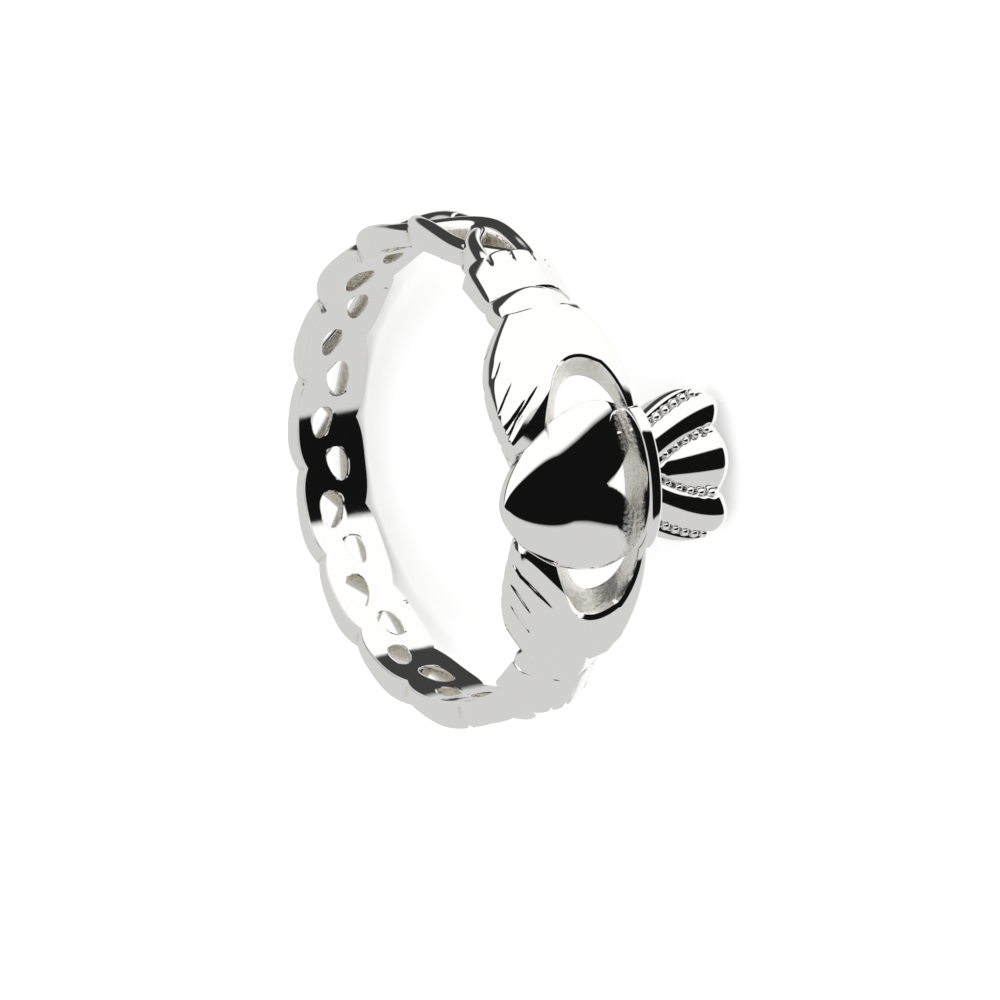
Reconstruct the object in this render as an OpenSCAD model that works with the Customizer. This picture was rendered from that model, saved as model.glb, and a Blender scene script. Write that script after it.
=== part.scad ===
// A claddagh ring in silver: two hands hold a crowned heart, on a pierced three-strand plait.
// It is drawn lying on its side, as it rests: on the crown's tip and the back of the band.
// The finger hole's axis is tilted back from upright, +X is the heart's side, and Z = 0 is the surface.

/* [Finger hole and band] */
// Diameter of the finger hole, about a US size 7
hole_d = 17.3; // [15:0.1:22]
// Width of the plaited band over its bumps
band_w = 3; // [2.6:0.1:3.8]
// Width of one strand of the plait
strand_w = 0.72; // [0.5:0.02:0.9]
// Thickness of the band where a strand lies level
band_t = 0.98; // [0.7:0.02:1.4]
// Rise and dip of a strand where it crosses another
weave_h = 0.13; // [0.05:0.01:0.2]
// Length of one bump of the plait along the finger hole
bump_l = 3.45; // [2.8:0.05:4.5]
// Turn of the plait from even about the heart, in degrees
plait_turn = 2.3; // [-5:0.1:5]
// Bumps in the back of the band, between the two soldered seams
back_bumps = 8; // [5:1:10]
// Depth of the soldered seams
seam_d = 0.12; // [0.05:0.01:0.25]

/* [Cuffs and wristbands] */
// Distance from the heart's middle to the frilled end of a cuff, along the arc of the head
frill_s = 10.1; // [9.4:0.1:11]
// Length of a cuff
cuff_l = 2; // [1.4:0.1:2.8]
// Width of a cuff across the ring
cuff_w = 4; // [3.2:0.1:4.6]
// Thickness of a cuff at its middle
cuff_t = 1.35; // [1:0.05:1.8]
// Depth of the pleats in a cuff's frill
pleat_d = 0.16; // [0.05:0.01:0.3]
// Pleats in a cuff's frill
pleats = 5; // [3:1:8]
// Length of a plain wristband
wrist_l = 0.8; // [0.5:0.1:1.2]
// Width of a wristband across the ring
wrist_w = 3.5; // [2.8:0.1:4]
// Thickness of a wristband at its middle
wrist_t = 1.4; // [1:0.05:1.8]

/* [Hands] */
// Reach of the fingers' side of a hand from the band's middle
finger_edge = 3.8; // [3.2:0.1:4.2]
// Reach of the thumb's side of a hand from the band's middle
thumb_edge = 2.25; // [1.9:0.05:2.8]
// Distance from the heart's middle to the top of the arch between thumb and fingers
arch_s = 5; // [4.4:0.1:5.8]
// Width of that arch across the ring
arch_w = 3.9; // [3.2:0.1:4.2]
// Thickness of the back of a hand
palm_t = 1.5; // [1.2:0.05:2]
// Thickness of a hand at its edges
palm_edge_t = 0.75; // [0.5:0.05:1]
// Width of a finger
finger_w = 0.62; // [0.45:0.01:0.8]
// Height of the fingertips' middle over the finger hole
finger_tip_t = 0.85; // [0.6:0.05:1.1]
// Thickness of the thumb over the finger hole
thumb_t = 1.1; // [0.8:0.05:1.5]

/* [Heart] */
// Width of the heart along the arc of the head
heart_w = 6.8; // [5:0.1:7]
// Length of the heart from its point to the notch, across the ring
heart_l = 4.6; // [3.2:0.05:4.8]
// Rise of the heart's two lobes past its notch
lobe_l = 1.4; // [1.1:0.05:2]
// Distance of the heart's notch from the band's middle
notch_a = 0.45; // [-0.5:0.05:0.6]
// Height of the heart's rim over the finger hole
heart_rim_t = 0.75; // [0.6:0.05:1.6]
// Height of the heart's dome over the finger hole
heart_t = 1.25; // [1.1:0.05:3.2]
// Lean of the heart, the collar and the crown: shift along the arc for each mm across the ring
head_lean = 0.06; // [0:0.01:0.1]

/* [Collar and crown] */
// Distance of the collar's middle from the band's middle
collar_a = 1.95; // [1.7:0.05:2.4]
// Width of the collar
collar_w = 0.6; // [0.4:0.05:0.8]
// Height of the collar over the finger hole
collar_t = 1.55; // [1.2:0.05:2]
// Length of the collar along the arc of the head
collar_l = 5.6; // [4.6:0.1:6.4]
// Length of the crown from the collar's middle to its middle tip
crown_l = 3.85; // [2.8:0.05:4.4]
// Width of the crown at the collar
crown_foot_w = 5.2; // [4:0.1:5.8]
// Width of the crown near its tips
crown_top_w = 6.1; // [5:0.1:6.6]
// Thickness of the crown's plate
crown_t = 0.85; // [0.6:0.05:1.2]
// Rise of the crown's ribs over its plate
rib_h = 0.5; // [0.2:0.05:0.8]
// Diameter of the beads on the crown
bead_d = 0.46; // [0.3:0.02:0.6]
// Beads in each row on the crown
row_beads = 5; // [3:1:7]

/* [Hidden] */
hole_r = hole_d / 2;
// Every piece is drawn a little into the finger hole, which is bored through all of them last.
// Each has a depth of its own, so that no two undersides run together.
root = 0.3;
function depth(i) = -root - 0.06 * i;
// Arc lengths of the head are measured this high over the finger hole
ref_h = 1.35;
ref_r = hole_r + ref_h;
// Plait: degrees of turn for each bump, and of each strand's own wave for each degree of turn
bump_deg = bump_l / hole_r * 180 / PI;
wave = 120 / bump_deg;
back_turn = 180 + plait_turn;
seam_turn = back_bumps * bump_deg / 2;
// Share of a third harmonic in a strand's path, which fills the band's edge between the bumps
square_up = -0.1;
path_a = (band_w - strand_w) / 2 / (1 + square_up);
strand_step = 4.3;
wrist_s = frill_s - cuff_l;
hand_s = wrist_s - wrist_l;
// The head sits a little to the fingers' side of the band
head_a = -0.35;
arch_a = head_a - 0.05;
silver = [0.82, 0.82, 0.83];

// A point by its arc length along the head, its place across the ring and its height over the finger hole
function at(s, a, h) = by_turn(s / ref_r * 180 / PI, a, h);
// A point by its turn about the finger hole's axis, its place across the ring and its height
function by_turn(t, a, h) = [(hole_r + h) * cos(t), (hole_r + h) * sin(t), -a];
// The same for the leaning pieces between the two hands
function mid_at(s, a, h) = at(s + head_lean * a, a, h);
function mix(x, y, k) = x + (y - x) * k;
// Cubic curve through p[0] and p[3]
function cubic(p, t) = pow(1 - t, 3) * p[0] + 3 * t * pow(1 - t, 2) * p[1]
    + 3 * t * t * (1 - t) * p[2] + t * t * t * p[3];
// Rounds a piece off toward both ends of a share u from 0 to 1: 1 in the middle, 0 at the ends
function crown_off(u, power) = 1 - pow(abs(2 * u - 1), power);

// A closed solid through rings of equally many points
module loft(rings) {
    n = len(rings);
    k = len(rings[0]);
    polyhedron(
        points = [for (ring = rings) each ring],
        faces = concat(
            [[for (j = [k - 1:-1:0]) j]],
            [[for (j = [0:k - 1]) (n - 1) * k + j]],
            [for (i = [0:n - 2], j = [0:k - 1]) let (q = (j + 1) % k)
                each [[i * k + j, (i + 1) * k + q, (i + 1) * k + j],
                      [i * k + j, i * k + q, (i + 1) * k + q]]]));
}

// Half of the head, from the heart's middle to one cuff, and its mirror image
module both_sides() {
    children();
    mirror([0, 1, 0]) children();
}

// Place across the ring and height of strand k at a turn from the back of the band
function strand_phase(t, k) = wave * t + 120 * k;
function strand_a(t, k) = let (p = strand_phase(t, k)) path_a * (cos(p) + square_up * cos(3 * p));
function strand_h(t, k) = band_t + weave_h * sin(2 * strand_phase(t, k));
// Slope of a strand's path across the ring, per unit of length along it
function strand_slope(t, k) = let (p = strand_phase(t, k))
    -path_a * (sin(p) + 3 * square_up * sin(3 * p)) * wave / (hole_r + band_t / 2);
// Section of a strand: flat sides and a rounded top, as shares of half its width and of its height
strand_section = [[1, -1], [1, 0.6], [0.7, 0.92], [0, 1.03], [-0.7, 0.92], [-1, 0.6], [-1, -1]];

// Ring of strand k at a turn, with its flat underside at the given height
function strand_ring(k, t, under) =
    let (slope = strand_slope(t, k), len1 = sqrt(1 + slope * slope), a = strand_a(t, k), h = strand_h(t, k))
    [for (p = strand_section)
        let (w = p[0] * strand_w / 2, along = -w * slope / len1, across = w / len1)
        by_turn(back_turn + t + along / (hole_r + band_t / 2) * 180 / PI,
            a + across, p[1] < 0 ? under : h * p[1])];
band_reach = 180 - (frill_s - cuff_l / 2) / ref_r * 180 / PI;
strand_steps = ceil(2 * band_reach / strand_step);
function strand_rings(k, under) = [for (i = [0:strand_steps])
    strand_ring(k, mix(-band_reach, band_reach, i / strand_steps) - plait_turn, under)];

module band() {
    for (k = [0:2]) loft(strand_rings(k, depth(k)));
}

// The two butt seams where the back of the band was soldered to the head
module seams() {
    for (side = [-1, 1])
        rotate([0, 0, back_turn + side * seam_turn])
            translate([hole_r + band_t, 0, 0])
                rotate([0, 0, 45])
                    cube([seam_d * 1.4, seam_d * 1.4, band_w * 2], center = true);
}

// Wristband and cuff run across the ring, a touch askew.
// Their sections are shares of their own length and thickness.
cuff_lean = 0.02;
function cuff_at(s, a, h) = at(s + cuff_lean * a, a, h);
bar_section = [[0, 0.62], [0.07, 0.86], [0.25, 1], [0.5, 1.03], [0.75, 1], [0.93, 0.86], [1, 0.62]];
bar_rows = 13;
module wristband() {
    loft([for (i = [0:bar_rows - 1])
        let (u = i / (bar_rows - 1), a = head_a + (u - 0.5) * wrist_w,
             t = mix(wrist_t * 0.55, wrist_t, sqrt(max(0, crown_off(u, 2)))))
        concat([for (p = bar_section) cuff_at(mix(hand_s - 0.1, wrist_s, p[0]), a, t * p[1])],
            [cuff_at(wrist_s, a, depth(3)), cuff_at(hand_s - 0.1, a, depth(3))])]);
}

cuff_rows = 26;
cuff_section = [[0, 0.7], [0.06, 0.9], [0.2, 1], [0.42, 0.96], [0.66, 0.9], [0.86, 0.88], [1, 0.66]];
module cuff() {
    loft([for (i = [0:cuff_rows - 1])
        let (u = i / (cuff_rows - 1), a = head_a + (u - 0.5) * cuff_w,
             fold = abs(sin(180 * pleats * u)),
             end_s = frill_s - 0.55 * pow(abs(2 * u - 1), 3) + 0.2 * fold,
             t = mix(cuff_t * 0.5, cuff_t, sqrt(max(0, crown_off(u, 2.4)))))
        concat([for (p = cuff_section)
                cuff_at(mix(wrist_s - 0.05, end_s, p[0]), a, t * p[1] - pleat_d * (1 - fold) * p[0])],
            [cuff_at(end_s, a, depth(4)), cuff_at(wrist_s - 0.05, a, depth(4))])]);
}

// Hand: a horseshoe about the arch, in sections that run from the arch's rim to the hand's outline.
// The share v runs along it, from the fingers' foot over the palm to the thumb's foot.
arch_foot_s = arch_s - 2.6;
arch_bevel = 0.5;
// The arch narrows from its rim down to the finger hole, most on the fingers' side
arch_in = 0.17;
function arch_rim(t) = [arch_foot_s + (arch_s - arch_foot_s) * sin(t),
    arch_a + arch_in - (arch_w / 2 - arch_in) * cos(t)];
function arch_floor(t) = [arch_foot_s + (arch_s - 0.25 - arch_foot_s) * sin(t),
    arch_a + arch_bevel * 1.6 - (arch_w / 2 - arch_bevel) * cos(t)];
wrist_corner_f = [hand_s + 0.15, head_a - wrist_w * 0.48];
wrist_corner_t = [hand_s + 0.15, head_a + wrist_w * 0.44];
fingers_side = [[0.9, -finger_edge * 0.86], [arch_s * 0.54, -finger_edge],
    [arch_s, -finger_edge * 1.19], wrist_corner_f];
thumb_side = [wrist_corner_t, [arch_s * 1.2, thumb_edge * 0.86],
    [arch_s * 0.85, thumb_edge * 0.98], [collar_l * 0.4, thumb_edge]];
side_rows = 10;
wrist_rows = 4;
// Rows of the hand, each as [turn about the arch, place on the outline, height]
palm_rows = concat(
    [for (i = [0:side_rows]) let (u = i / side_rows)
        [mix(-14, 66, u), cubic(fingers_side, u), mix(palm_t * 0.7, palm_t, sin(90 * u))]],
    [for (i = [1:wrist_rows - 1]) let (u = i / wrist_rows)
        [mix(66, 112, u), mix(wrist_corner_f, wrist_corner_t, u), palm_t]],
    [for (i = [0:side_rows]) let (u = i / side_rows)
        [mix(112, 190, u), cubic(thumb_side, u), mix(palm_t, thumb_t, sin(90 * u))]]);
// Sections of the hand as [share from rim to outline, share of the row's height]
palm_shares = [[0, 0.7], [0.06, 0.84], [0.2, 0.95], [0.42, 1], [0.65, 0.96], [0.84, 0.82], [0.95, 0.66],
    [1, palm_edge_t / palm_t]];
module palm() {
    loft([for (row = palm_rows)
        let (rim = arch_rim(row[0]), floor_p = arch_floor(row[0]), edge = row[1], h = row[2])
        concat([at(floor_p[0], floor_p[1], depth(5)), at(floor_p[0], floor_p[1], 0.15)],
            [for (p = palm_shares) at(mix(rim[0], edge[0], p[0]), mix(rim[1], edge[1], p[0]), h * p[1])],
            [at(edge[0], edge[1], depth(5))])]);
}

// A tapered round bar from one place on the head to another, each [s, a, h]
limb_sides = 8;
module limb(from, to, w0, w1, bow) {
    steps = 6;
    run = norm([to[0] - from[0], to[1] - from[1]]);
    dir = [(to[0] - from[0]) / run, (to[1] - from[1]) / run];
    loft([for (i = [0:steps])
        let (u = i / steps, end = sqrt(crown_off(mix(0.06, 0.94, u), 4)), w = mix(w0, w1, u) / 2 * end,
             s = mix(from[0], to[0], u), a = mix(from[1], to[1], u) + bow * sin(180 * u),
             h = mix(from[2], to[2], u))
        [for (j = [0:limb_sides - 1]) let (t = 360 * j / limb_sides)
            at(s - w * cos(t) * dir[1], a + w * cos(t) * dir[0], h + w * sin(t))]]);
}

// Knuckle and tip of each finger, as [s, a] of each
fingers = [
    [[6.3, -2.95], [4.85, -3.5]],
    [[5.9, -2.6], [3.65, -3.5]],
    [[5.3, -2.3], [2.7, -3.45]],
    [[4.9, -1.95], [1.7, -3.35]]];
module hand() {
    palm();
    for (i = [0:3])
        let (f = fingers[i])
            limb([f[0][0], f[0][1], palm_t - finger_w * 0.4], [f[1][0], f[1][1], finger_tip_t],
                finger_w * 0.85, finger_w * 1.15, 0.05);
    limb([hand_s - 0.9, thumb_edge - 1.1, palm_t - finger_w * 0.65],
        [collar_l * 0.42, collar_a, thumb_t - finger_w * 0.35], finger_w * 1.3, finger_w * 0.9, 0.12);
}

// Outline of the heart as [s, a], from the notch around one lobe to the point, and back
heart_turns = 9;
heart_half = concat(
    [for (i = [0:heart_turns]) cubic([[0, notch_a], [heart_w * 0.12, notch_a + lobe_l * 0.95],
        [heart_w * 0.46, notch_a + lobe_l * 1.6], [heart_w * 0.5, notch_a - 0.1]], i / heart_turns)],
    [for (i = [1:heart_turns]) cubic([[heart_w * 0.5, notch_a - 0.1],
        [heart_w * 0.5, notch_a - heart_l * 0.42], [heart_w * 0.29, notch_a - heart_l * 0.97],
        [0, notch_a - heart_l]], i / heart_turns)]);
heart_outline = concat(heart_half,
    [for (i = [len(heart_half) - 2:-1:1]) [-heart_half[i][0], heart_half[i][1]]]);
heart_mid = [0, notch_a - heart_l * 0.27];
// The heart thins out toward its point: 0 over its middle, 1 at the point
function heart_point(a) = let (u = min(1, max(0, (notch_a - 1.9 - a) / (heart_l - 1.9)))) u * u * (3 - 2 * u);
// Rings of the heart as [share of the outline, height], rounding its crease away toward the top
heart_rings = concat(
    [[0.95, depth(6)], [0.96, heart_rim_t * 0.75], [1, heart_rim_t * 0.92]],
    [for (t = [8, 20, 34, 48, 62, 76, 86]) [cos(t), mix(heart_rim_t, heart_t, sin(t))]]);
function heart_ring(k, h) = [for (i = [len(heart_outline) - 1:-1:0])
    let (p = heart_outline[i] - heart_mid, t = atan2(p[0], p[1]),
         round_p = [sin(t) * heart_w * 0.4, cos(t) * heart_w * 0.36],
         q = heart_mid + k * mix(p, round_p, (1 - k) * 0.8))
    mid_at(q[0], q[1], h < 0 ? h : h * mix(1, 0.45, heart_point(q[1])))];
module heart() {
    loft([for (ring = heart_rings) heart_ring(ring[0], ring[1])]);
}

// Collar between the thumbs, bowed a little toward the crown, with a sloping wall toward the heart
collar_steps = 16;
collar_slope = 0.8;
module collar() {
    loft([for (i = [0:collar_steps])
        let (u = i / collar_steps, s = (u - 0.5) * collar_l, a = collar_a - 0.03 * s * s,
             t = mix(collar_t * 0.6, collar_t, sqrt(crown_off(u, 4))))
        concat([for (p = strand_section) if (p[1] > 0) mid_at(s, a + p[0] * collar_w / 2, t * p[1])],
            [mid_at(s, a - collar_w / 2 - collar_slope, depth(7)),
             mid_at(s, a + collar_w / 2, depth(7))])]);
}

// Crown: a fan in three lobes, each a raised rib, with rows of beads between and beside the ribs
crown_tip_a = collar_a + crown_l;
lobes = 3;
crown_rows = 8 * lobes + 1;
crown_shares = [0, 0.3, 0.6, 0.8, 0.93, 1];
crown_foot_a = collar_a + collar_w * 0.3;
function crown_half_w(u) = mix(crown_foot_w, crown_top_w, sin(90 * min(1, u * 1.2))) / 2;
// The lobes' round tips: the middle one reaches furthest
function crown_end(v) = crown_tip_a - 0.3 * v * v - 0.32 * (1 - abs(sin(90 * (v + 1) * lobes)))
    - 1.1 * pow(abs(v), 8);
function rib(v) = abs(sin(90 * (v + 1) * lobes));
function crown_at(u, v, h) = mid_at(v * crown_half_w(u), mix(crown_foot_a, crown_end(v), u), h);
// Height of the crown: its ribs run lower toward their tips, and its edge is rounded off
function crown_h(u, v) = (crown_t + rib_h * rib(v) * (1 - 0.35 * u)) * (u < 0.9 ? 1 : u < 1 ? 0.84 : 0.6);
function crown_ring(v, under) = concat(
    [for (u = crown_shares) crown_at(u, v, crown_h(u, v))],
    [crown_at(1, v, under), crown_at(0, v, under)]);
function crown_rings(under) = [for (i = [0:crown_rows - 1]) crown_ring(1 - 2 * i / (crown_rows - 1), under)];
module crown() {
    loft(crown_rings(depth(8)));
    for (row = [0:lobes], i = [0:row_beads - 1])
        translate(crown_at(mix(0.16, 0.86, i / (row_beads - 1)),
            (2 * row / lobes - 1) * (row % lobes == 0 ? 0.9 : 1), crown_t + bead_d * 0.12))
            sphere(d = bead_d, $fn = 8);
}

// Rest: the ring lies on the crown's tip and on the far edge of the back of the band
function low(points, t) = min([for (p = points) p[0] * sin(t) + p[2] * cos(t)]);
function flat(rings) = [for (ring = rings) each ring];
crown_points = flat(crown_rings(0));
band_points = flat([for (k = [0:2]) each strand_rings(k, 0)]);
// Tilt at which the two touch the surface together, between two tilts that bracket it
function settle(t0, t1, rounds) = let (t = (t0 + t1) / 2)
    rounds == 0 ? t
    : low(crown_points, t) < low(band_points, t) ? settle(t, t1, rounds - 1) : settle(t0, t, rounds - 1);
rest_tilt = settle(0, 30, 16);
rest_z = -low(crown_points, rest_tilt);
// The origin lies under the middle of the resting ring's length
function reach_x(points, t) = [for (p = points) p[0] * cos(t) - p[2] * sin(t)];
rest_x = -(min(reach_x(band_points, rest_tilt)) + max(reach_x(crown_points, rest_tilt))) / 2;

// The whole casting before its finger hole is bored, as one skin
module casting() {
    resize([0, 0, 0])
        difference() {
            union() {
                band();
                both_sides() {
                    cuff();
                    wristband();
                    hand();
                }
                heart();
                collar();
                crown();
            }
            seams();
        }
}

module ring() {
    color(silver)
        translate([rest_x, 0, rest_z])
            rotate([0, -rest_tilt, 0])
                difference() {
                    casting();
                    cylinder(r = hole_r, h = 4 * crown_tip_a, center = true, $fn = 180);
                }
}

ring();
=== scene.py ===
import math

import bpy
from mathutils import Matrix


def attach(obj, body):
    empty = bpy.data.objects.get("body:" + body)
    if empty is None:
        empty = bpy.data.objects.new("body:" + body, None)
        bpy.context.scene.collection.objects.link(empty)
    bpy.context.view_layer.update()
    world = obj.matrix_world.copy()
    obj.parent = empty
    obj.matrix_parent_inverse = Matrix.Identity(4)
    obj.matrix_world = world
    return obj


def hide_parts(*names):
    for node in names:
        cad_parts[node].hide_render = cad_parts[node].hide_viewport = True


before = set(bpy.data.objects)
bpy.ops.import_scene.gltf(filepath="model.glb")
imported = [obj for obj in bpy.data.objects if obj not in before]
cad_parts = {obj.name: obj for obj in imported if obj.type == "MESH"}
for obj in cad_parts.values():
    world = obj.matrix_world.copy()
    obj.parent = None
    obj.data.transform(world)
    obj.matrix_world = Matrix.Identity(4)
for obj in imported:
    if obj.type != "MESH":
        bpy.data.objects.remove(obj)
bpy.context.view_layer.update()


# Polished silver. The whole ring is one casting in sterling silver, filed and buffed by hand,
# so its skin waves a little and carries fine hairlines. Buffs don't reach the pierced walls:
# there the attribute "cast" is 1, and the metal stays as it left the mould, matt, warm and pitted.
class Wire:
    """A socket of a material, so that sums on it can be written as sums."""

    def __init__(self, tree, socket=None):
        self.tree, self.socket = tree, socket

    def node(self, kind, settings, sockets, out=0):
        made = self.tree.nodes.new(kind)
        for name, value in settings.items():
            if name == "stops":
                ramp = made.color_ramp
                while len(ramp.elements) < len(value):
                    ramp.elements.new(0.5)
                for element, (place, shade) in zip(ramp.elements, value):
                    element.position = place
                    element.color = shade
            else:
                setattr(made, name, value)
        for name, value in sockets.items():
            if isinstance(value, Wire):
                self.tree.links.new(value.socket, made.inputs[name])
            else:
                made.inputs[name].default_value = value
        return Wire(self.tree, made.outputs[out])

    def sum(self, operation, first, second=0.0):
        return self.node("ShaderNodeMath", {"operation": operation}, {0: first, 1: second})

    def __add__(self, other):
        return self.sum("ADD", self, other)

    def __sub__(self, other):
        return self.sum("SUBTRACT", self, other)

    def __rsub__(self, other):
        return self.sum("SUBTRACT", other, self)

    def __mul__(self, other):
        return self.sum("MULTIPLY", self, other)

    __radd__ = __add__


def new_finish(name):
    made = bpy.data.materials.new(name)
    made.use_nodes = True
    shader = made.node_tree.nodes["Principled BSDF"]
    return made, shader, Wire(made.node_tree)


buffed_tint, cast_tint, stain_tint = (0.955, 0.95, 0.94, 1), (0.93, 0.90, 0.81, 1), (0.45, 0.40, 0.30, 1)
stain_share = 0.4
scratch_rough, cast_rough, grit_rough = 0.05, 0.26, 0.3
grit_depth, pit_depth = 6e-5, 4e-5


def polished_silver(name, wave, hairline, buffed):
    """A buffed finish: wave is the depth of its unevenness, hairline that of its scratches, in metres."""
    made, shader, start = new_finish(name)
    place = start.node("ShaderNodeTexCoord", {}, {}, "Object")

    def noise(spot, scale, **more):
        return start.node("ShaderNodeTexNoise", {}, {"Vector": spot, "Scale": scale, **more}, "Fac")

    cast = start.node("ShaderNodeAttribute", {"attribute_name": "cast"}, {}, "Fac")
    clean = 1 - cast
    swell = noise(place, 620.0, Detail=1.5)
    skin = noise(place, 9000.0, Detail=4.0)
    grit = noise(place, 7000.0, Detail=6.0, Roughness=0.65)
    pits = start.node("ShaderNodeTexVoronoi", {}, {"Vector": place, "Scale": 5200.0}, "Distance")
    stretch = {"Vector": place, "Rotation": (0.3, 0.9, 0.5), "Scale": (1, 14, 5)}
    scratch = noise(start.node("ShaderNodeMapping", {}, stretch), 2600.0, Detail=3.0, Roughness=0.7)

    stops = [(0.35, stain_tint), (0.6, (1, 1, 1, 1))]
    stain = start.node("ShaderNodeValToRGB", {"stops": stops}, {"Fac": grit}, "Color")
    tint = start.node(
        "ShaderNodeMix", {"data_type": "RGBA"}, {"Factor": cast, "A": buffed_tint, "B": cast_tint}, "Result"
    )
    colour = start.node(
        "ShaderNodeMix", {"data_type": "RGBA", "blend_type": "MULTIPLY"},
        {"Factor": cast * stain_share, "A": tint, "B": stain}, "Result",
    )

    rough = clean * (buffed + (scratch - 0.5) * scratch_rough) + cast * (cast_rough + grit * grit_rough)
    hand_work = swell * wave + scratch * hairline + skin * hairline * 0.5
    relief = clean * hand_work + cast * (grit * grit_depth + pits * pit_depth)
    bump = start.node("ShaderNodeBump", {}, {"Strength": 1.0, "Distance": 1.0, "Height": relief}, "Normal")
    shader.inputs["Metallic"].default_value = 1.0
    for socket, wire in (("Base Color", colour), ("Roughness", rough), ("Normal", bump)):
        made.node_tree.links.new(wire.socket, shader.inputs[socket])
    return made


band_silver = polished_silver("band_silver", 1.6e-5, 2e-7, 0.05)


# Plait: three round-topped strands cross over and under each other round the finger, a flat
# three-strand plait pierced between its strands. The back of the band was rolled as a strip
# and soldered to the head at two butt seams, which still show as fine grooves.
hole_r = 8.65
rest_tilt = math.radians(13.5271)
rest_x, rest_z = -0.511809, 3.61704
band_w, strand_w, band_t, weave_h = 3.0, 0.72, 0.98, 0.13
strand_r = hole_r + band_t / 2
bump_deg = math.degrees(3.45 / hole_r)
wave = 120 / bump_deg
back_turn = 182.3
square_up = -0.1
path_a = (band_w - strand_w) / 2 / (1 + square_up)
band_reach = 126.0
seam_turn, seam_half, seam_depth, seam_narrow = 4 * bump_deg, 0.62, 0.13, 0.06
# Between the strands their walls fall back under the buffed crests. Toward the band's two rims
# the walls stand straight and are buffed too.
undercut = 0.13
straight_a, buffed_a, rim_fade = 1.0, 1.12, 0.12
# Each strand's underside lies at a height of its own, so that no two run together
strand_under, under_step = 0.06, 0.004


def sin(deg):
    return math.sin(math.radians(deg))


def cos(deg):
    return math.cos(math.radians(deg))


def mix(x, y, k):
    return x + (y - x) * k


def clamp(x):
    """A share held between 0 and 1."""
    return min(1, max(0, x))


def by_turn(turn, a, h):
    """A point of the resting ring in metres, by its turn about the finger hole, place across and height."""
    x, y, z = (hole_r + h) * cos(turn), (hole_r + h) * sin(turn), -a
    lean_c, lean_s = math.cos(rest_tilt), math.sin(rest_tilt)
    return ((x * lean_c - z * lean_s + rest_x) / 1000, y / 1000, (x * lean_s + z * lean_c + rest_z) / 1000)


def smooth_line(points, x):
    """Smooth curve through a list of (x, y), without overshoot at its ends."""
    xs, ys = [p[0] for p in points], [p[1] for p in points]
    if x <= xs[0]:
        return ys[0]
    if x >= xs[-1]:
        return ys[-1]
    i = max(j for j in range(len(xs) - 1) if xs[j] <= x)
    step = xs[i + 1] - xs[i]
    t = (x - xs[i]) / step
    rise = [(ys[j + 1] - ys[j]) / (xs[j + 1] - xs[j]) for j in range(len(xs) - 1)]
    slopes = []
    for j in (i, i + 1):
        if j == 0 or j == len(xs) - 1:
            slopes.append(rise[min(j, len(rise) - 1)])
        elif rise[j - 1] * rise[j] <= 0:
            slopes.append(0.0)
        else:
            slopes.append(2 * rise[j - 1] * rise[j] / (rise[j - 1] + rise[j]))
    return (
        ys[i] * (2 * t**3 - 3 * t * t + 1)
        + step * slopes[0] * (t**3 - 2 * t * t + t)
        + ys[i + 1] * (3 * t * t - 2 * t**3)
        + step * slopes[1] * (t**3 - t * t)
    )


def join_ring(piece, finish):
    piece.data.materials.append(finish)
    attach(piece, "root")
    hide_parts("ring")


def sew(piece, reach, sharp):
    """Joins points nearer than reach, closes what is open, turns faces outward and smooths soft edges."""
    bpy.ops.object.select_all(action="DESELECT")
    bpy.context.view_layer.objects.active = piece
    piece.select_set(True)
    bpy.ops.object.mode_set(mode="EDIT")
    bpy.ops.mesh.select_all(action="SELECT")
    bpy.ops.mesh.remove_doubles(threshold=reach)
    bpy.ops.mesh.select_all(action="DESELECT")
    bpy.ops.mesh.select_non_manifold()
    bpy.ops.mesh.fill_holes(sides=0)
    bpy.ops.mesh.select_all(action="SELECT")
    bpy.ops.mesh.normals_make_consistent(inside=False)
    bpy.ops.object.mode_set(mode="OBJECT")
    bpy.ops.object.shade_smooth_by_angle(angle=math.radians(sharp))


def cast_skin(name, rows, finish, sharp=50):
    """A closed piece from rows of (point, cast share): a grid laid through them and sewn at its seam."""
    across, along = len(rows[0]) - 1, len(rows) - 1
    bpy.ops.object.select_all(action="DESELECT")
    bpy.ops.mesh.primitive_grid_add(x_subdivisions=across, y_subdivisions=along, size=0.01)
    piece = bpy.context.object
    piece.name = name
    flat = [spot for row in rows for spot in row]
    piece.data.vertices.foreach_set("co", [c for spot in flat for c in spot[0]])
    walls = piece.data.attributes.new("cast", "FLOAT", "POINT")
    walls.data.foreach_set("value", [spot[1] for spot in flat])
    while piece.data.uv_layers:
        piece.data.uv_layers.remove(piece.data.uv_layers[0])
    sew(piece, 2e-7, sharp)
    join_ring(piece, finish)


def strand_section(width, top, under):
    """Section of a strand, from the middle of its underside over its crest, as (across, height, cast)."""
    half, low, wall_top = width / 2, under + 0.02, top * 0.62
    side = [(0, under, 0), (half - undercut - 0.07, under, 0), (half - undercut, low, 1)]
    side += [(half - undercut * (1 - k) ** 1.5, mix(low, wall_top, k), 1) for k in (0.3, 0.55, 0.8)]
    side.append((half, wall_top, 0.7))
    for t in range(9, 91, 9):
        side.append((half * cos(t) ** 0.85, mix(wall_top, top * 1.03, sin(t) ** 0.9), 0))
    return side + [(-w, h, c) for w, h, c in side[-2::-1]]


def strand_at(k, turn):
    """Where the middle of a strand lies across the band, and its slope there."""
    p = wave * turn + 120 * k
    a = path_a * (cos(p) + square_up * cos(3 * p))
    return a, -path_a * (sin(p) + 3 * square_up * sin(3 * p)) * wave / strand_r


def seam_groove(turn):
    """Depth of the solder groove at a turn: 0 beside the seams, 1 in the middle of one."""
    return max(0.0, 1 - abs(abs(turn) - seam_turn) / seam_half)


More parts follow.
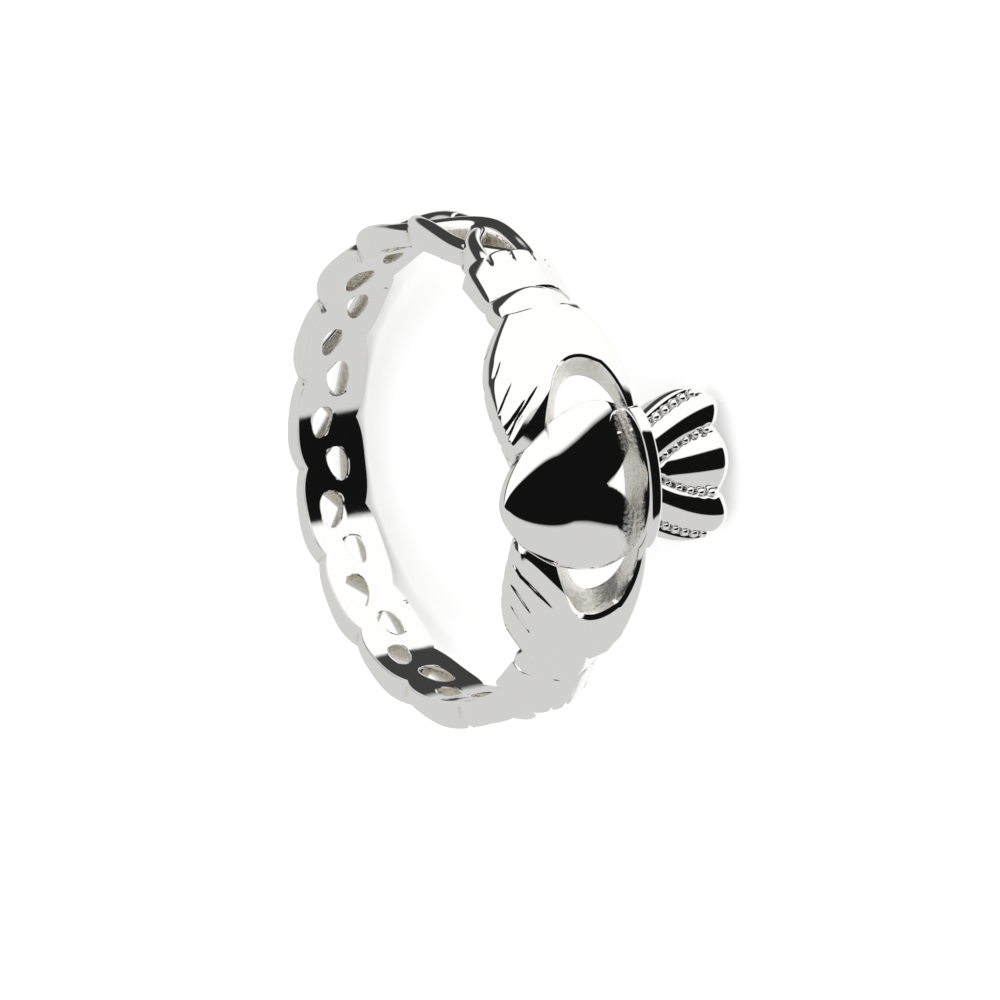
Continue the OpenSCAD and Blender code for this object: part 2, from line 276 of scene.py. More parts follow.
strand_turns = {mix(-band_reach, band_reach, i / 320) for i in range(321)}
for past_seam in (-1, -0.75, -0.5, -0.3, -0.15, 0, 0.15, 0.3, 0.5, 0.75, 1):
    strand_turns |= {seam_turn + past_seam, -seam_turn - past_seam}

for k in range(3):
    rows = []
    for turn in sorted(strand_turns):
        a, slope = strand_at(k, turn)
        length = math.hypot(1, slope)
        groove = seam_groove(turn)
        top = band_t + weave_h * sin(2 * (wave * turn + 120 * k)) - seam_depth * groove
        row = []
        for w, h, wall in strand_section(strand_w, top, strand_under + under_step * k):
            sunk = min(undercut, max(0, strand_w / 2 - abs(w))) if wall > 0.8 else 0
            w += math.copysign(sunk * clamp((abs(a + w / length) - straight_a) / rim_fade), w)
            spot = a + w / length * (1 - seam_narrow * groove)
            along = math.degrees(-w * slope / length / strand_r)
            wall *= 1 - clamp((abs(spot) - buffed_a) / rim_fade)
            row.append((by_turn(back_turn + turn + along, spot, h), wall))
        rows.append(row)
    cast_skin(f"strand_{k + 1}", rows, band_silver)


# Lining: inside, the three strands run together into one smooth bored face, pierced by a small
# rounded hole in each gap of the plait. The holes widen outward and are left as cast.
lining_t, lining_under, lining_in = 0.3, 0.004, 0.012
last_gap, gap_sides = 11, 16
# The holes were opened by hand: they differ in size and taper, and lie beside the gaps' middles
gap_hole_l, gap_hole_w, gap_hole_lean = 1.36, 0.88, 0.1
size_vary, taper = 0.13, 0.22
gap_hole_places = (0.22, -0.42)
gap_half_w = 1.3
# The mouth of a hole, as (share of its size, height, cast)
mouth = [(1.3, 0.26, 1), (1.2, 0.19, 1), (1.08, 0.1, 1), (1.0, 0.03, 0.6)]
across_steps = (-1, -0.975, -0.7, -0.35, 0, 0.35, 0.7, 0.975)
lining_points, lining_cast, lining_faces = [], [], []


def lining_edge(turn, side):
    """Where the lining ends under the outermost strand, on one side of the band."""
    edges = []
    for k in range(3):
        a, slope = strand_at(k, turn)
        edges.append(side * a + strand_w / 2 * min(1.5, math.hypot(1, slope)))
    return side * (max(edges) - lining_in - seam_narrow * 0.4 * seam_groove(turn))


for j in range(-last_gap, last_gap + 1):
    middle, reach = 60 * j / wave, 30 / wave
    size = 1 + size_vary * sin(137 * j)
    hole_a = gap_hole_places[j % 2]
    # Round the gap's edge, as (turn, share across, whether a wall closes it there)
    loop = [(middle - reach + 2 * reach * i / gap_sides, -1, True) for i in range(gap_sides)]
    loop += [(middle + reach, step, step == -1 or j == last_gap) for step in across_steps]
    loop += [(middle + reach - 2 * reach * i / gap_sides, 1, True) for i in range(gap_sides)]
    loop += [(middle - reach, -step, step == -1 or j == -last_gap) for step in across_steps]
    first = len(lining_points)
    for turn, share, _ in loop:
        a = mix(lining_edge(turn, -1), lining_edge(turn, 1), share / 2 + 0.5)
        angle = math.degrees(math.atan2((a - hole_a) / gap_half_w, (turn - middle) / reach))
        half_l = gap_hole_l / 2 * size
        half_w = gap_hole_w / 2 * size * (1 - taper * cos(angle + 12 * sin(80 * j)))
        lean = gap_hole_lean * cos(angle) * (-1) ** j
        hole = (math.degrees(half_l * cos(angle) / hole_r), half_w * sin(angle) + lean)
        start = (middle + hole[0], hole_a + hole[1])
        ring = [(middle + hole[0] * k, hole_a + hole[1] * k, h, c) for k, h, c in mouth]
        for k in (0.05, 0.2, 0.4, 0.6, 0.8, 1.0):
            ring.append((mix(start[0], turn, k), mix(start[1], a, k), lining_under, 0))
        ring.append((turn, a, lining_under + 0.001, 0))
        ring.append((turn, a, lining_t, 0))
        ring.append((mix(start[0], turn, 0.6), mix(start[1], a, 0.6), lining_t, 1))
        lining_points += [by_turn(back_turn + p_turn, p_a, h) for p_turn, p_a, h, _ in ring]
        lining_cast += [float(p[3]) for p in ring]
    count, around = len(loop), len(ring)
    for i in range(count):
        here, there = first + i * around, first + (i + 1) % count * around
        walled = loop[i][2] and loop[(i + 1) % count][2]
        for m in range(around):
            if walled or m != around - 3:
                after = (m + 1) % around
                lining_faces.append((here + m, here + after, there + after, there + m))

skin = bpy.data.meshes.new("lining")
skin.from_pydata(lining_points, [], lining_faces)
lining = bpy.data.objects.new("lining", skin)
bpy.context.collection.objects.link(lining)
skin.attributes.new("cast", "FLOAT", "POINT").data.foreach_set("value", lining_cast)
sew(lining, 1e-6, 50)
join_ring(lining, band_silver)


# Wristbands: a plain rounded ridge across each end of the plait, cast with it and buffed bright.
# The groove between wristband and cuff is buffed away in part, most of all on the lower hand.
ref_h = 1.35
ref_r = hole_r + ref_h
frill_s, wrist_s, hand_s = 9.8, 8.25, 7.3
cuff_w, cuff_t, wrist_w, wrist_t = 3.8, 1.35, 3.5, 1.4
head_a = -0.35
wrist_lean, frill_lean = -0.1, -0.28
wrist_under_hand, wrist_under, wrist_foot, wrist_swell = 0.75, 0.009, 0.15, 1.7
both_sides = ((1, "upper"), (-1, "lower"))
cuff_silver = polished_silver("cuff_silver", 5e-6, 3e-8, 0.05)


def at(s, a, h):
    """A point of the head, by its length along the arc ref_h above the hole, place across and height."""
    return by_turn(math.degrees(s / ref_r), a, h)


def bar_row(side, s0, s1, a, t, section, under, width, drop=lambda p: 0.0):
    """One row of a bar across the ring, along its section from s0 to s1 and back along its underside.

    At each share of the way, width gives the bar's share of its full width and drop what its height loses.
    """
    points = [(i / 32, t * smooth_line(section, i / 32) - drop(i / 32)) for i in range(33)]
    points += [(1 - i / 16, under) for i in range(17)]
    points.append(points[0])
    return [(at(side * mix(s0, s1, p), head_a + (a - head_a) * width(p), h), 0.0) for p, h in points]


def quarter(share):
    """Rounded edge: 0 at the edge, 1 where the face is reached."""
    return math.sqrt(1 - (1 - clamp(share)) ** 2)


def side_slope(d, foot, top, reach):
    """Height at a distance from a side: a short wall, a tight turn, then a soft swell."""
    tight = min(0.35, 0.5 * (top - foot))
    return foot + tight * quarter(d / 0.2) + (top - foot - tight) * (1 - (1 - clamp(d / reach)) ** 2)


def close_at_ends(count):
    """Shares from 0 to 1, closer together toward both ends."""
    return [0.5 - 0.5 * cos(180 * i / count) for i in range(count + 1)]


def side_steps(count):
    """Shares across a bar, with more steps where its two sides turn down."""
    near = [0, 0.0015, 0.004, 0.008, 0.013]
    return near + [mix(0.02, 0.98, k) for k in close_at_ends(count)] + [1 - u for u in near[::-1]]


def wrist_width(p):
    return 1 - 1.1 * (p - 0.74) ** 2


def worn(section, joint, side, u, speck):
    """A section with its groove at the joint partly buffed away. On the lower hand only a speck is left."""
    buffed = 0.75 - 0.6 * math.exp(-(((u - speck) / 0.05) ** 2))
    if side > 0:
        buffed = smooth_line([(0.45, 0.7), (0.75, 0)], u)
    return [(p, mix(f, 1, buffed if abs(p - joint) < 0.5 else 0)) for p, f in section]


bar_section = [
    (0, 0.72), (0.2, 0.90), (0.38, 0.985), (0.5, 1.0), (0.85, 1.0), (0.93, 0.97), (0.97, 0.93), (1, 0.86)
]
for side, name in both_sides:
    rows = []
    for u in side_steps(60):
        a = head_a + (u - 0.5) * wrist_w
        t = side_slope(min(u, 1 - u) * wrist_w, wrist_foot, wrist_t * 0.985, wrist_swell)
        rows.append(
            bar_row(
                side, hand_s - wrist_under_hand, wrist_s + wrist_lean * a, a, t,
                worn(bar_section, 1, side, u, 0.34), wrist_under, wrist_width,
            )
        )
    cast_skin(f"{name}_wristband", rows, cuff_silver)


# Cuffs: each widens from its wristband to a gathered frill. Short cut creases part its five
# soft pleats, and their scalloped edge stands over the plait.
cuff_a, cuff_under_wrist, cuff_under = -0.22, 0.05, 0.006
cuff_foot, cuff_swell, cuff_flare = 0.1, 1.8, 0.2
pleat_d, crease_w, scallop, corner_round = 0.15, 0.06, 0.16, 0.2
cuff_section = [
    (0, 0.84), (0.03, 0.92), (0.08, 0.97), (0.3, 1.0), (0.6, 1.04),
    (0.85, 1.08), (0.955, 1.09), (0.98, 1.05), (1, 0.93),
]
cuff_creases = {"upper": (0, 0.2, 0.41, 0.63, 0.78, 1), "lower": (0, 0.24, 0.45, 0.6, 0.82, 1)}


def cuff_width(p):
    """The cuff is drawn in at the wristband, and a little at its frill's rounded edge."""
    return 1 - 0.07 * (1 - quarter(p / 0.35)) - 0.03 * (1 - quarter((1 - p) / 0.3))


for side, name in both_sides:
    creases = cuff_creases[name]
    rows = []
    for u in side_steps(220):
        a = cuff_a + (u - 0.5) * cuff_w
        n = max(m for m in range(5) if creases[m] <= u)
        share = (u - creases[n]) / (creases[n + 1] - creases[n])
        puff = math.sqrt(max(0, 1 - (2 * share - 1) ** 2))
        nearest = min(creases[1:-1], key=lambda c: abs(u - c))
        crease = pleat_d * math.exp(-((abs(u - nearest) * cuff_w / crease_w) ** 2))
        crease_from = 0.5 + 0.22 * abs(sin(400 * nearest))
        end_s = frill_s + frill_lean * a - corner_round * abs(2 * u - 1) ** 6 + scallop * puff
        t = side_slope(min(u, 1 - u) * cuff_w, cuff_foot, cuff_t, cuff_swell)
        rows.append(
            bar_row(
                side, wrist_s - cuff_under_wrist + wrist_lean * a, end_s, a, t,
                worn(cuff_section, 0, side, u, 0.37), cuff_under, cuff_width,
                lambda p: crease * smooth_line([(crease_from, 0), (0.85, 0.8), (1, 1)], p) - cuff_flare * p,
            )
        )
    cast_skin(f"{name}_cuff", rows, cuff_silver)


# Hands: each back of a hand is a smooth dome that splits about an open arch into fingers and thumb.
# The arch is pierced through with a sloping wall, left as cast. The fingers end beside the heart.
finger_edge, thumb_edge, arch_s, arch_w = 3.8, 2.25, 5.0, 3.9
palm_t, thumb_t, hand_under, tip_t, tip_v = 1.5, 1.1, 0.003, 0.08, 0.015
collar_l, collar_a, collar_w, collar_t = 5.6, 1.95, 0.6, 1.55
# The arch: its rim, and the foot of its sloping wall, which lies further in
arch_foot_s, arch_a, rim_in = arch_s - 2.6, head_a - 0.05, 0.17
floor_in_s, floor_in_a, floor_narrow = 0.25, 0.8, 0.5
arch_wall_cast = 0.5
wrist_corner_f = (hand_s + 0.15, head_a - wrist_w * 0.48)
wrist_corner_t = (hand_s + 0.15, head_a + wrist_w * 0.44)
fingers_side = [
    (0.9, -finger_edge * 0.86), (arch_s * 0.54, -finger_edge), (arch_s, -finger_edge * 1.19), wrist_corner_f
]
thumb_side = [
    wrist_corner_t, (arch_s * 1.2, thumb_edge * 0.86),
    (arch_s * 0.85, thumb_edge * 0.98), (collar_l * 0.4, thumb_edge),
]
heart_w, heart_l, lobe_l, notch_a, head_lean = 6.8, 4.6, 1.4, 0.45, 0.06
flank = [
    (heart_w * 0.5, notch_a - 0.1), (heart_w * 0.5, notch_a - heart_l * 0.42),
    (heart_w * 0.29, notch_a - heart_l * 0.97), (0, notch_a - heart_l),
]
hand_silver = polished_silver("hand_silver", 8e-6, 4e-8, 0.05)


def between(p, q, k):
    """The place a share k of the way from p to q."""
    return mix(p[0], q[0], k), mix(p[1], q[1], k)


def cubic(p, t):
    """A place on the curve that four points lead."""
    shares = ((1 - t) ** 3, 3 * t * (1 - t) ** 2, 3 * t * t * (1 - t), t**3)
    return tuple(sum(share * spot[i] for share, spot in zip(shares, p)) for i in (0, 1))


heart_side = [cubic(flank, i / 40) for i in range(41)]
outer_line = [cubic(fingers_side, i / 60) for i in range(61)]

# Shares of the way round a hand: its fingers come first, then its wrist, and its thumb is last
fingers_v, thumb_v = 0.42, 0.58
finger_top = [(0, 1.22), (0.15, 1.26), (0.3, 1.36), (0.42, 1.4)]
wrist_dip = [(0.3, 0), (0.46, 1), (0.56, 1), (0.7, 0)]
edge_low = [
    (0, 0.15), (0.2, 0.15), (0.32, 0.15), (0.36, 0.35), (0.405, 0.7), (0.44, 0.9),
    (0.47, 1.1), (0.5, 1.2), (0.54, 1.1), (0.57, 0.8), (0.6, 0.4), (1, 0.4),
]
swell = [(0, 1.6), (0.3, 2.2), (0.38, 2.6), (0.44, 2.4), (0.58, 1.0), (0.7, 0.8), (1, 0.7)]
finger_swell = [(1, 2.2), (3, 2.5), (5, 2.5), (7.4, 2.6)]
arch_rim_r = [(-14, 0.06), (30, 0.1), (60, 0.2), (130, 0.22), (190, 0.18)]
arch_rim_share, arch_rim_fall = {"upper": 0.55, "lower": 1}, 0.58
# Here the fingers leave the ring's turn and run straight to their tips
straight_s = 3.32

# The index finger's ridge: from it a flat side slopes down to the heart and the arch
index_ridge = ((5.5, -0.25), (4.23, -1.49), (3.2, -2.51), (2.06, -3.6), (1.5, -4.15))
index_slope, index_top = 0.58, 0.04
heart_gap, heart_gap_r, by_heart_t = 0.1, 0.07, 0.15

# Cut lines between the fingers, as (from, over, to) and depth: the two hands differ a little.
# Each deepens over a share of its length, and nicks the outline a little.
finger_cuts = {
    "upper": (
        ((5.92, -2.79), (5.2, -3.3), (4.4, -3.85), 0.06),
        ((5.07, -2.56), (4.1, -3.25), (3.2, -3.85), 0.08),
        ((4.3, -2.0), (3.08, -3.15), (2.1, -3.75), 0.11),
        ((3.9, -2.6), (3.2, -3.2), (2.6, -3.75), 0.05),
    ),
    "lower": (
        ((6.0, -2.45), (4.62, -3.45), (3.81, -4.0), 0.16),
        ((5.0, -2.7), (3.6, -3.6), (2.9, -4.1), 0.15),
        ((4.6, -2.0), (3.04, -3.42), (2.14, -3.9), 0.13),
        ((4.01, -2.69), (2.98, -3.38), (2.5, -3.8), 0.09),
    ),
}
cut_fade = {"upper": 0.5, "lower": 0.3}
cut_nick = {"upper": 0.6, "lower": 0.2}
cut_reach, cut_narrow, cut_wide = 0.3, 0.045, 0.07


def hand_row(v):
    """Turn about the arch, place on the outline and height, at a share v of the way round the hand."""
    if v < fingers_v:
        u = v / fingers_v
        return mix(-14, 66, u), cubic(fingers_side, u), smooth_line(finger_top, v)
    if v < thumb_v:
        u = (v - fingers_v) / (thumb_v - fingers_v)
        return mix(66, 112, u), between(wrist_corner_f, wrist_corner_t, u), palm_t
    u = (v - thumb_v) / (1 - thumb_v)
    return mix(112, 190, u), cubic(thumb_side, u), mix(palm_t, thumb_t, sin(90 * u))


def from_stretch(s, a, p, q):
    """Distance of a place from the stretch p to q, how far along that is, and the side it lies on."""
    ds, da = q[0] - p[0], q[1] - p[1]
    along = clamp(((s - p[0]) * ds + (a - p[1]) * da) / (ds * ds + da * da))
    gap = math.hypot(s - p[0] - along * ds, a - p[1] - along * da)
    return gap, along, 1 if ds * (a - p[1]) - da * (s - p[0]) > 0 else -1


def beside(s, a, line):
    """Signed distance of a place from a line that runs toward the fingertips: above 0 on its outer side."""
    found = [from_stretch(s, a, p, q) for p, q in zip(line, line[1:])]
    gap, _, sign = min(found, key=lambda stretch: stretch[0])
    return gap * sign


def cut_depth(s, a, name):
    """Depth of the cut lines at a place on the hand: narrow valleys that deepen toward the fingertips."""
    deep = 0.0
    for *line, depth in finger_cuts[name]:
        for run, (p, q) in enumerate(zip(line, line[1:])):
            gap, along, _ = from_stretch(s, a, p, q)
            if gap < cut_reach:
                ramp = min(1, (run + along) / 2 / cut_fade[name])
                deep = max(deep, depth * ramp * math.exp(-((gap / mix(cut_narrow, cut_wide, ramp)) ** 2)))
    return deep


def finger_height(spot, h, heart_line):
    """Height of the fingers beyond the index finger's ridge and beside the heart."""
    h -= index_slope * max(0, max(0, -beside(*spot, index_ridge)) - index_top)
    room = beside(*spot, heart_line) + heart_gap
    return mix(tip_t, max(by_heart_t, h), quarter(room / heart_gap_r)) if room > 0 else tip_t


across_shares = [0.96 * k for k in close_at_ends(80)] + [0.972, 0.982, 0.99, 0.995, 0.998, 1]
for side, name in both_sides:
    heart_line = [(s + side * head_lean * a, a) for s, a in heart_side]
    rows = []
    for i in range(261):
        v = fingers_v * (i / 180) ** 1.15 if i <= 180 else mix(fingers_v, 1, (i - 180) / 80)
        turn, edge, high = hand_row(v)
        high = min(high, mix(1.5, 1.36, smooth_line(wrist_dip, v)))
        rim = (
            arch_foot_s + (arch_s - arch_foot_s) * sin(turn),
            arch_a + rim_in - (arch_w / 2 - rim_in) * cos(turn),
        )
        floor = (
            arch_foot_s + (arch_s - floor_in_s - arch_foot_s) * sin(turn),
            arch_a + floor_in_a - (arch_w / 2 - floor_narrow) * cos(turn),
        )
        tip = quarter(v / tip_v)
        nick = cut_depth(*edge, name) * cut_nick[name]
        reach = math.hypot(edge[0] - rim[0], edge[1] - rim[1])
        edge = between(edge, rim, nick / reach)
        reach -= nick
        rim_r = smooth_line(arch_rim_r, turn) * arch_rim_share[name]
        low_edge = smooth_line(edge_low, v)
        row = []
        for k in (0, 0.04, 0.12, 0.3, 0.5, 0.7, 0.88, 0.96):
            h = smooth_line([(0, 0.0), (0.12, 0.12), (1, high - 0.42)], k) * mix(0.15, 1, tip)
            row.append((between(floor, rim, k), h + hand_under, 0.0 if k == 0 else arch_wall_cast))
        for k in across_shares:
            spot = between(rim, edge, k)
            inward, top = (1 - k) * reach, high
            span = min(reach * 0.95, smooth_line(swell, v))
            if v < fingers_v:
                by_row = smooth_line([(0.33, 0), (0.42, 1)], v)
                inward = mix(max(0, spot[1] - smooth_line(outer_line, spot[0])), inward, by_row)
                span = mix(smooth_line(finger_swell, spot[0]), span, by_row)
                top += max(0, straight_s - spot[0]) ** 2 / 2 / ref_r
            h = side_slope(inward, low_edge, top, span)
            rim_fall = arch_rim_fall * rim_r * (1 - clamp(k * reach / rim_r)) ** 1.3
            h -= rim_fall + cut_depth(*spot, name) * min(1, h)
            if v < 0.36:
                h = finger_height(spot, h, heart_line)
            row.append((spot, mix(tip_t, h, tip), 0.0))
        for k in (0.3, 0.6, 0.95):
            row.append((edge, mix((low_edge - nick * 0.5) * mix(0.6, 1, tip), hand_under, k), 0.0))
        inner = between(edge, floor, 0.02)
        row += [(between(inner, floor, k / 14), hand_under, 0.0) for k in range(15)]
        rows.append([(at(side * p[0], p[1], h), wall) for p, h, wall in row])
    cast_skin(f"{name}_hand", rows, hand_silver)


# Heart: a plump dome between the hands, the brightest buffed face of the ring. Its edge stands on
# a short wall, which is left as cast over the arches and is low and buffed at the point.
heart_rim_t, heart_t, heart_tip_t = 0.603, 1.153, 0.288
heart_plump, face_a, heart_sink = 1.56, -0.955, 0.155
heart_tilt_s, heart_tilt_a, heart_tilt_from = 0.028, 0.154, -1.3
point_from_a, point_l, point_plump = -2.3, 3.2, 0.77
heart_mid = (0, notch_a - heart_l * 0.27)
lobe = [
    (0, notch_a), (heart_w * 0.12, notch_a + lobe_l * 0.95),
    (heart_w * 0.46, notch_a + lobe_l * 1.6), flank[0],
]
heart_half = [cubic(lobe, i / 40) for i in range(41)] + heart_side[1:]
heart_outline = heart_half + [(-s, a) for s, a in heart_half[-2::-1]]
heart_silver = polished_silver("heart_silver", 3e-6, 2e-8, 0.015)


def mid_at(s, a, h):
    """The same for the heart, the collar and the crown, which lean a little along the arc."""
    return at(s + head_lean * a, a, h)


def toward_round(spot, centre, k, strength):
    """A place at a share k from the centre to the outline, on rings that grow rounder toward the centre."""
    p = (spot[0] - centre[0], spot[1] - centre[1])
    angle = math.atan2(p[0], p[1])
    rounded = (math.sin(angle) * heart_w * 0.4, math.cos(angle) * heart_w * 0.36)
    return [centre[i] + k * mix(p[i], rounded[i], (1 - k) * strength) for i in (0, 1)]


def heart_ring(k, h):
    """One ring of the heart's underside."""
    return [(mid_at(*toward_round(spot, heart_mid, k, 0.8), h), 0) for spot in heart_outline]


def heart_point(a):
    """How far down the heart's point a place lies: 0 over its middle, 1 at the point."""
    share = clamp((point_from_a - a) / point_l)
    return share * share * (3 - 2 * share)


def heart_edge(k, h, tip_h, wall):
    """One ring of the heart's wall, with its height over the arches and at the point."""
    ring = []
    for spot in heart_outline:
        point = heart_point(spot[1])
        s, a = between((0, heart_mid[1]), spot, mix(k, 1, point * 0.8))
        ring.append((mid_at(s, a, mix(h, tip_h, point)), wall * (1 - point)))
    return ring


def heart_dome(t):
    """One ring of the face, from the edge at 0 to the top at 90: plump over the lobes, thin at the point."""
    out = cos(t) ** (2 / heart_plump)
    # The top is rounded off a little, where the plump curve would end in a peak
    soft = out**heart_plump * (1.04 * out * out / (out * out + 0.04)) ** (1 - heart_plump / 2)
    up = max(0, 1 - soft) ** (1 / heart_plump)
    ring = []
    for spot in heart_outline:
        s, a = toward_round(spot, (0, face_a), out, 0.668)
        point = heart_point(spot[1])
        rise = mix(up, max(0, 1 - out * out) ** point_plump, point)
        h = mix(mix(heart_rim_t, heart_tip_t, point), heart_t, rise)
        tilt = heart_tilt_s * s + heart_tilt_a * (a - heart_tilt_from)
        h -= tilt * up + heart_sink * (1 - out * out)
        ring.append((mid_at(s, a, h), 0))
    return ring


# The wall's rings, as (share of the outline, height over the arches, height at the point, cast)
heart_rows = [heart_ring(k, 0.0) for k in (0, 0.1, 0.2, 0.3, 0.4, 0.5, 0.6, 0.7, 0.8, 0.88, 0.93)]
for ring in (
    (0.945, 0.03, 0.02, 0.5), (0.95, 0.09, 0.05, 0.5), (0.955, 0.26, 0.12, 0.5), (0.96, 0.39, 0.18, 0.5),
    (0.965, 0.465, 0.22, 0.4), (0.975, 0.52, 0.24, 0.2), (0.988, 0.57, 0.26, 0), (0.997, 0.595, 0.28, 0),
):
    heart_rows.append(heart_edge(*ring))
heart_rows += [heart_dome(mix(0.5, 90, i / 54)) for i in range(55)]
cast_skin("heart", heart_rows, heart_silver, 60)


# Collar: the plain bar at the crown's foot, that the thumbs hold. Its wall toward the heart
# is left half as cast, and runs out under the heart's lobes at both ends.
collar_bow, collar_cast, collar_under = 0.03, 0.65, 0.015
wall_run, wall_run_ends = 0.05, 0.45
collar_silver = polished_silver("collar_silver", 5e-6, 3e-8, 0.05)


def collar_top(a, side, t, turns):
    """Half of the collar's rounded back, on one side of its middle."""
    half = side * collar_w / 2
    return [(a + half * cos(v) ** 0.55, mix(t * 0.78, t * 1.03, sin(v) ** 0.8), 0) for v in turns]


rows = []
for i in range(81):
    u = i / 80
    s = (u - 0.5) * collar_l
    a = collar_a - collar_bow * s * s
    t = mix(collar_t * 0.6, collar_t, math.sqrt(1 - (2 * u - 1) ** 4))
    near, far = a - collar_w / 2, a + collar_w / 2
    foot = near - wall_run - wall_run_ends * abs(2 * u - 1) ** 3
    points = [(foot, collar_under, 0)]
    points += [(mix(foot, near, k), mix(0.03, t * 0.6, k), collar_cast) for k in (0, 0.2, 0.4, 0.6, 0.8, 1)]
    points += collar_top(a, -1, t, range(6, 91, 6)) + collar_top(a, 1, t, range(84, 5, -6))
    points += [(far, t * 0.6, 0), (far, t * 0.3, 0), (far, collar_under, 0), (a, collar_under, 0)]
    points.append(points[0])
    rows.append([(mid_at(s, p, h), wall) for p, h, wall in points])
cast_skin("collar", rows, collar_silver)


# Crown: a fan in three raised ribs with scalloped tips. Fine grooves part the ribs, and the edge
# is rounded.
crown_l, crown_t, rib_h, lobes = 3.85, 0.85, 0.5, 3
crown_tip_a = collar_a + crown_l
crown_foot_a = collar_a + collar_w * 0.3
crown_bow, rib_scallop, crown_corner, crown_under = 0.3, 0.32, 1.1, 0.018
rib_lines = (-1, -0.87, -0.31, 0.31, 0.87, 1)
rib_feet = (-2.4, -1.75, -0.06, 0.42, 1.89, 2.4)
rib_tips = (-3.05, -2.85, -1.3, 1.25, 2.72, 3.05)
bead_d, row_beads, bead_foot, bead_tip = 0.36, 5, 0.2, 0.8
# The channels for the beads widen and narrow with them
channel_half, channel_beat = 0.13, 0.025
crown_silver = polished_silver("crown_silver", 5e-6, 3e-8, 0.05)


def crown_place(u, v):
    """A place on the fan: the grooves between the ribs are close together at the collar and spread out."""
    lines = [(line, mix(foot, tip, sin(90 * u))) for line, foot, tip in zip(rib_lines, rib_feet, rib_tips)]
    scallop = rib_scallop * (1 - abs(sin(90 * (v + 1) * lobes)))
    end = crown_tip_a - crown_bow * v * v - scallop - crown_corner * abs(v) ** 8
    return smooth_line(lines, v), mix(crown_foot_a, end, u)


def rib_height(u, v):
    """Height of the ribs' round backs over the crown's plate. Grooves with scalloped edges cut them off."""
    if abs(v) > rib_lines[-2]:
        return 0.2 * quarter((abs(v) - 0.885) / 0.06)
    left = max(line for line in rib_lines[1:4] if line <= v)
    right = rib_lines[rib_lines.index(left) + 1]
    x = abs(2 * (v - left) / (right - left) - 1)
    half = (crown_place(u, right)[0] - crown_place(u, left)[0]) / 2
    beat = cos(360 * (row_beads - 1) * (u - bead_foot) / (bead_tip - bead_foot))
    shoulder = (1 - x) * half / (channel_half + channel_beat * beat) - 0.35
    return quarter(shoulder) * max(0.12, rib_h - (x * half) ** 2 / 2.7)


crown_edge = [(0, 1), (0.86, 1), (0.93, 0.92), (0.975, 0.76), (1, 0.45)]
rows = []
for i in range(281):
    v = 1 - 2 * i / 280
    side = mix(0.5, 1, quarter((1 - abs(v)) / 0.06))
    places = []
    for j in range(49):
        u = 1 - (1 - j / 48) ** 1.5
        h = (crown_t + rib_height(u, v) * (1 - 0.25 * u)) * smooth_line(crown_edge, u)
        places.append((u, h * side))
    places += [(1, h) for h in (0.3, 0.15, 0.05)] + [(u, crown_under) for u in (0.99, 0.5, 0)]
    places.append(places[0])
    rows.append([(mid_at(*crown_place(u, v), h), 0.0) for u, h in places])
cast_skin("crown", rows, crown_silver)


# Beads: four rows of small round grains in the channels between the crown's ribs and beside them.
for line in range(lobes + 1):
    for i in range(row_beads):
        u = mix(bead_foot, bead_tip, i / (row_beads - 1))
        centre = mid_at(*crown_place(u, rib_lines[line + 1]), crown_t + bead_d * 0.3)
        radius = bead_d / 2 / 1000
        bpy.ops.object.select_all(action="DESELECT")
        bpy.ops.mesh.primitive_uv_sphere_add(segments=24, ring_count=14, radius=radius, location=centre)
        bpy.ops.object.transform_apply(location=True, rotation=True, scale=True)
        bead = bpy.context.object
        bead.name = f"bead_{line + 1}_{i + 1}"
        bpy.ops.object.shade_smooth()
        join_ring(bead, crown_silver)


# Studio: a plain white table under soft, even light.
bpy.ops.mesh.primitive_plane_add(size=2.0, location=(0, 0, 0))
table = bpy.context.object
table.name = "table"
paper, shader, _ = new_finish("white_table")
shader.inputs["Base Color"].default_value = (0.9, 0.9, 0.9, 1)
shader.inputs["Roughness"].default_value = 0.9
table.data.materials.append(paper)
table.visible_glossy = False

world = bpy.data.worlds.new("daylight")
bpy.context.scene.world = world
world.use_nodes = True
sky = world.node_tree.nodes["Background"]
sky.inputs["Color"].default_value = (1, 1, 1, 1)
sky.inputs["Strength"].default_value = 1.55

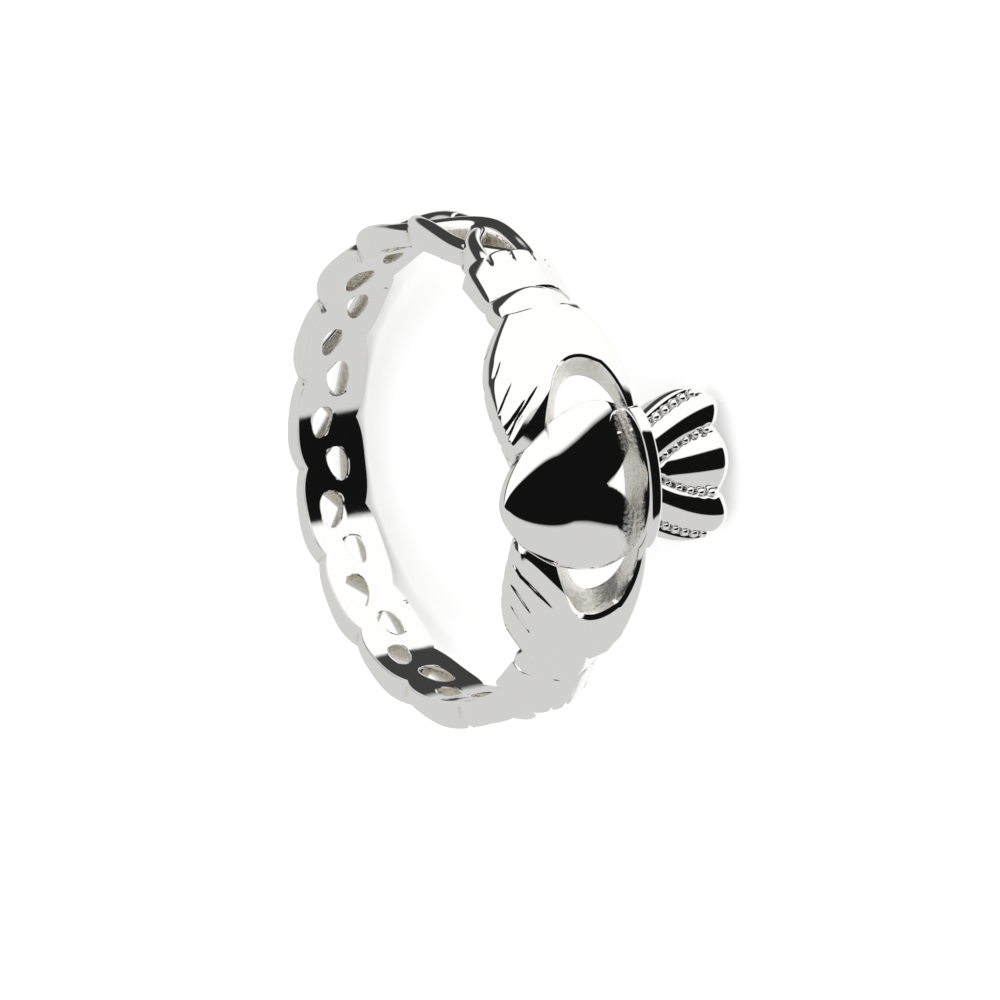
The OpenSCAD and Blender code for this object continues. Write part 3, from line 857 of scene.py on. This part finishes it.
# Light tent: the white, grey and black cards that stand round the ring, which polished silver
# mirrors. It is drawn as one round shell that only mirrors see, shaded by its turn about the table.
bpy.ops.mesh.primitive_uv_sphere_add(segments=96, ring_count=48, radius=1.0, location=(0, 0, 0))
tent = bpy.context.object
tent.name = "light_tent"
bpy.ops.object.shade_smooth()
cards, shader, start = new_finish("tent_cards")
place = start.node("ShaderNodeTexCoord", {}, {}, "Object")
east, north, height = (start.node("ShaderNodeSeparateXYZ", {}, {"Vector": place}, axis) for axis in "XYZ")
turn = start.sum("ARCTAN2", north, east) * (1 / math.tau) + 0.5
grey, black = (0.66, 0.66, 0.655, 1), (0.006, 0.006, 0.006, 1)
white, dusk = (1.04, 1.04, 1.04, 1), (0.05, 0.05, 0.05, 1)
# Each card stands from one turn to another, in degrees
tent_cards = ((-180, -28.5, grey), (-27, 20, black), (22, 95.5, white), (97.5, 144, dusk), (152, 180, grey))
stops = [(edge / 360 + 0.5, shade) for start_at, end_at, shade in tent_cards for edge in (start_at, end_at)]
ramp = start.node("ShaderNodeValToRGB", {"stops": stops}, {"Fac": turn}, "Color")
# Below the cards' feet the ring mirrors the white table
foot = {"Value": height, "From Min": -0.74, "From Max": -0.80}
below = start.node("ShaderNodeMapRange", {}, foot, "Result")
lit = start.node(
    "ShaderNodeMix", {"data_type": "RGBA"}, {"Factor": below, "A": ramp, "B": (1, 1, 1, 1)}, "Result"
)
glow = start.node("ShaderNodeEmission", {}, {"Color": lit, "Strength": 1.0}, "Emission")
tree = cards.node_tree
tree.links.new(glow.socket, tree.nodes["Material Output"].inputs["Surface"])
tree.nodes.remove(shader)
cards.cycles.emission_sampling = "NONE"
tent.data.materials.append(cards)
tent.visible_camera = False
tent.visible_diffuse = False
tent.visible_transmission = False
tent.visible_shadow = False

bpy.context.scene.view_settings.view_transform = "Standard"
bpy.context.scene.view_settings.look = "None"

camera_turns = (-12.4004, 41.66664, -6.36973)
bpy.ops.object.camera_add(
    location=(0.1459405, 0.0294206, 0.1610277), rotation=[math.radians(d) for d in camera_turns]
)
camera = bpy.context.object
camera.data.sensor_width = 36
camera.data.lens = 206.532
camera.data.clip_start = 0.01
bpy.context.scene.camera = camera
